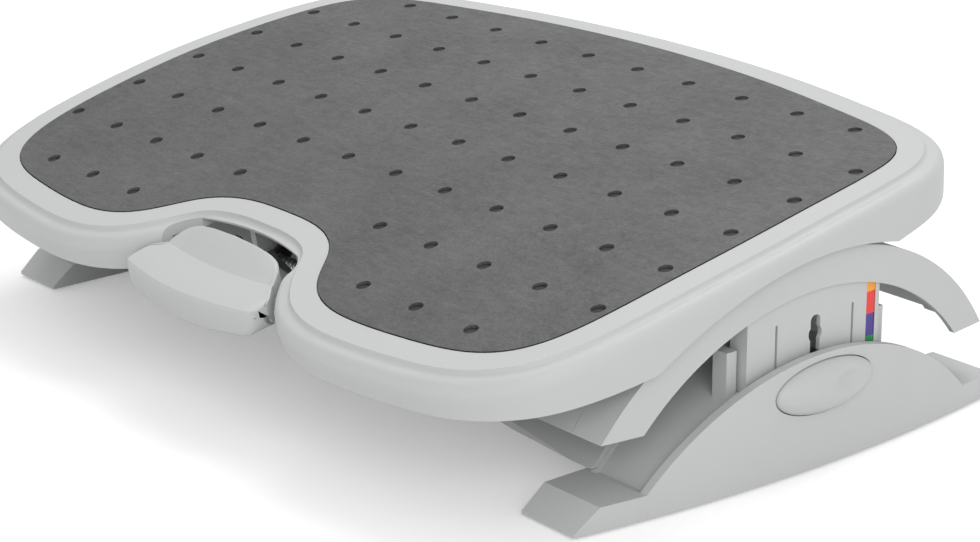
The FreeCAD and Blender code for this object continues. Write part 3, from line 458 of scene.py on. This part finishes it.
TIP_START = 56.0
TIP_REACH = 5.0
TIP_DROP = 2.2
LIP_LOSS = 0.8
BOTTOM = -38.0
BOTTOM_BOW = 4.0
BOTTOM_BOW_AT = 60.0
BOTTOM_CORNER = 9.0
BACK_SKIRT = -21.0
SKIN = 3.2
SOLID_FROM = 56.6
SOLID_TO = 57.4
PEDAL_PLACES = [
    0, 5, 10, 15, 20, 25, 30, 34, 38, 41, 43.5, 45.5, 47, 48.3, 49.6, 51, 53, 55, 56.5, 57.5,
    58.5, 59.5, 60.3, 60.8, 61,
]


def pedal_section(x):
    """The pedal's closed outline at a place x: from the back over the top, round and inside."""
    u = abs(x)
    end = max(0.0, u - (PEDAL_HALF - CORNER)) / CORNER
    solid = between(u, SOLID_FROM, SOLID_TO)
    hollow = 1 - solid
    lip = 1 - LIP_LOSS * end
    tip = TIP_DROP * rounded(max(0.0, u - TIP_START) / TIP_REACH)
    lens = max(0.0, 1 - ((x - LENS_MIDDLE) / LENS_HALF) ** 2) ** LENS_FULLNESS
    front = PEDAL_FRONT + FRONT_BOW * (u / FRONT_BOW_AT) ** 2 + CORNER * CORNER_REACH * rounded(end)
    back = along(PEDAL_BACK, u)
    edge = front + EDGE_ROUND + LENS_DEPTH * lens
    bowed_foot = WALL_FOOT + WALL_BOW * (u / WALL_BOW_AT) ** 2
    foot = max(min(bowed_foot, back - WALL_LEAST), edge + TREAD_LEAST)
    edge = min(edge, foot - TREAD_TRIM)
    low = BOTTOM + BOTTOM_BOW * (u / BOTTOM_BOW_AT) ** 2 + BOTTOM_CORNER * rounded(end)
    skirt = BACK_SKIRT + (low - BACK_SKIRT) * solid

    def tread(y):
        return TREAD_HEIGHT - TREAD_SLOPE * (WALL_FOOT - y) - tip

    def inside(top):
        """The hollow's height under a top, or the pedal's bottom where it is solid."""
        return low + (top - low) * hollow

    crest = max(along(CREST, u) - tip, tread(foot) + CREST_LEAST)
    lean = (crest - tread(foot)) / WALL_RISE
    ridge = back - CREST_THICK * lip
    shoulder = crest - 0.5 * lean
    middle = (foot + edge) / 2
    crest_and_wall = [
        (back, skirt),
        (back, crest - 1.6 * lean),
        (back - 0.7, crest - 0.4 * lean),
        (back - 1.6, crest),
        (ridge, shoulder),
        (foot + (ridge - foot) * 0.5, tread(foot) + (shoulder - tread(foot)) * WALL_SAG),
        (foot, tread(foot)),
    ]
    tread_and_front = [
        (middle, tread(middle)),
        (edge, tread(edge)),
        (front + 1.9 * lip, tread(edge) - 0.7 - 0.5 * lens),
        (front + 0.5 * lip, tread(edge) - 2.2 - 0.6 * lens),
        (front, tread(edge) - 4.6),
        (front, low + 5),
        (front + 0.5, low + 2.2),
        (front + 1.8, low + 0.5),
        (front + 4, low),
    ]
    underneath = [
        (front + 4.2, inside(tread(edge) - 5)),
        (edge + 3, inside(tread(edge) - SKIN - 1)),
        (foot, inside(tread(foot) - SKIN)),
        (back - SKIN, inside(tread(foot) - SKIN)),
        (back - SKIN, skirt),
    ]
    return crest_and_wall + tread_and_front + underneath


def pedal_mesh():
    spots = []
    for x in [-place for place in PEDAL_PLACES[:0:-1]] + PEDAL_PLACES:
        spots += [from_platform(x, y, height) for y, height in pedal_section(x)]
    return joined_rings("pedal_tread", spots, len(pedal_section(0)))


new_piece("pedal_tread", pedal_mesh(), "pedal", "foot_pedal", PEDAL_CREASE_ANGLE)


# The height buttons: low domed ovals with a shallow finger dimple towards the rear.

CHEEK_FROM_ROOT = 5.2 * MM
WALL_SHORT = 0.6 * MM
DOME_SUNK = 0.4 * MM
DOME_PROUD = 8.2 * MM
DOME_SPREAD = 2.6
DOME_ROUND = 0.62
DIMPLE_REAR = 12.5 * MM
DIMPLE_UP = 1 * MM
DIMPLE_LONG = 11 * MM
DIMPLE_TALL = 7 * MM
DIMPLE_DEEP = 4.6 * MM
BUTTON_RINGS = 22
RING_SHIFT = 0.6
BUTTON_TURNS = 72


def button_mesh(node, side):
    low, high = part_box(node)
    centre_y = (low[1] + high[1]) / 2
    centre_z = (low[2] + high[2]) / 2
    half_long = (high[1] - low[1]) / 2
    half_tall = (high[2] - low[2]) / 2
    root = min(abs(low[0]), abs(high[0]))
    cheek = root + CHEEK_FROM_ROOT
    spots = []

    def add_ring(share, place):
        for i in range(BUTTON_TURNS):
            angle = 2 * math.pi * i / BUTTON_TURNS
            y = half_long * share * math.cos(angle)
            z = half_tall * share * math.sin(angle)
            spots.append((side * place(share, y, z), centre_y + y, centre_z + z))

    def dome(share, y, z):
        dip = math.exp(-((y - DIMPLE_REAR) / DIMPLE_LONG) ** 2 - ((z - DIMPLE_UP) / DIMPLE_TALL) ** 2)
        bulge = DOME_PROUD * (1 - share ** DOME_SPREAD) ** DOME_ROUND
        return cheek - DOME_SUNK + bulge - DIMPLE_DEEP * dip * (1 - share ** 4)

    add_ring(1.0, lambda share, y, z: root)
    add_ring(1.0, lambda share, y, z: cheek - WALL_SHORT)
    for ring in range(BUTTON_RINGS):
        add_ring(math.cos(math.pi / 2 * (ring + RING_SHIFT) / BUTTON_RINGS), dome)
    return joined_rings(node + "_dome", spots, BUTTON_TURNS, outward=side > 0)


for hand, side in (("right", 1), ("left", -1)):
    button = "height_button_" + hand
    new_piece(button + "_dome", button_mesh(button, side), "latch_" + hand, button)


# The floor and the light.

def floor_material():
    """White paper: it keeps shadows, and reads white to the camera."""
    m = Nodes("floor_look")
    m.tint(m.noise(3.0), WHITE, 1.0, 1.0)
    m.shader.inputs["Roughness"].default_value = 0.9
    m.shader.inputs["Specular IOR Level"].default_value = 0.1
    rays = m.tree.nodes.new("ShaderNodeLightPath")
    seen = m.maths("MAXIMUM", rays.outputs["Is Camera Ray"], rays.outputs["Is Glossy Ray"])
    glow = m.tree.nodes.new("ShaderNodeEmission")
    m.link(m.maths("MULTIPLY", seen, FLOOR_GLOW), glow.inputs["Strength"])
    both = m.tree.nodes.new("ShaderNodeAddShader")
    m.link(m.shader.outputs["BSDF"], both.inputs[0])
    m.link(glow.outputs["Emission"], both.inputs[1])
    m.link(both.outputs["Shader"], m.output.inputs["Surface"])
    return m.material


def add_floor():
    size = 6.0
    mesh = bpy.data.meshes.new("floor")
    corners = [(-size, -size, 0), (size, -size, 0), (size, size, 0), (-size, size, 0)]
    mesh.from_pydata(corners, [], [(0, 1, 2, 3)])
    floor = bpy.data.objects.new("floor", mesh)
    floor.data.materials.append(floor_material())
    bpy.context.scene.collection.objects.link(floor)


def add_softbox(name, place, target, size, power):
    light = bpy.data.lights.new(name, "AREA")
    light.shape = "RECTANGLE"
    light.size = size[0]
    light.size_y = size[1]
    light.energy = power
    lamp = bpy.data.objects.new(name, light)
    lamp.location = place
    lamp.rotation_euler = (Vector(target) - Vector(place)).to_track_quat("-Z", "Y").to_euler()
    bpy.context.scene.collection.objects.link(lamp)


def add_world(strength):
    world = bpy.data.worlds.new("studio")
    bpy.context.scene.world = world
    world.use_nodes = True
    tree = world.node_tree
    background = tree.nodes["Background"]
    background.inputs["Color"].default_value = (1, 1, 1, 1)
    rays = tree.nodes.new("ShaderNodeLightPath")
    level = tree.nodes.new("ShaderNodeMapRange")
    level.inputs["To Min"].default_value = strength
    level.inputs["To Max"].default_value = 1.0
    tree.links.new(rays.outputs["Is Camera Ray"], level.inputs["Value"])
    tree.links.new(level.outputs["Result"], background.inputs["Strength"])


def add_camera():
    data = bpy.data.cameras.new("camera")
    data.sensor_width = SENSOR_WIDTH
    data.lens = CAMERA_LENS
    camera = bpy.data.objects.new("camera", data)
    camera.location = CAMERA_PLACE
    camera.rotation_euler = [math.radians(a) for a in CAMERA_TURN]
    bpy.context.scene.collection.objects.link(camera)
    bpy.context.scene.camera = camera


add_floor()
add_world(0.72)
add_softbox("key", (-0.4, 1.0, 2.2), (0, 0, 0.05), (1.8, 1.4), 25)
add_softbox("fill", (2.0, -1.2, 1.2), (0, 0, 0.05), (1.6, 1.2), 21)
add_camera()
bpy.context.scene.view_settings.view_transform = "Standard"
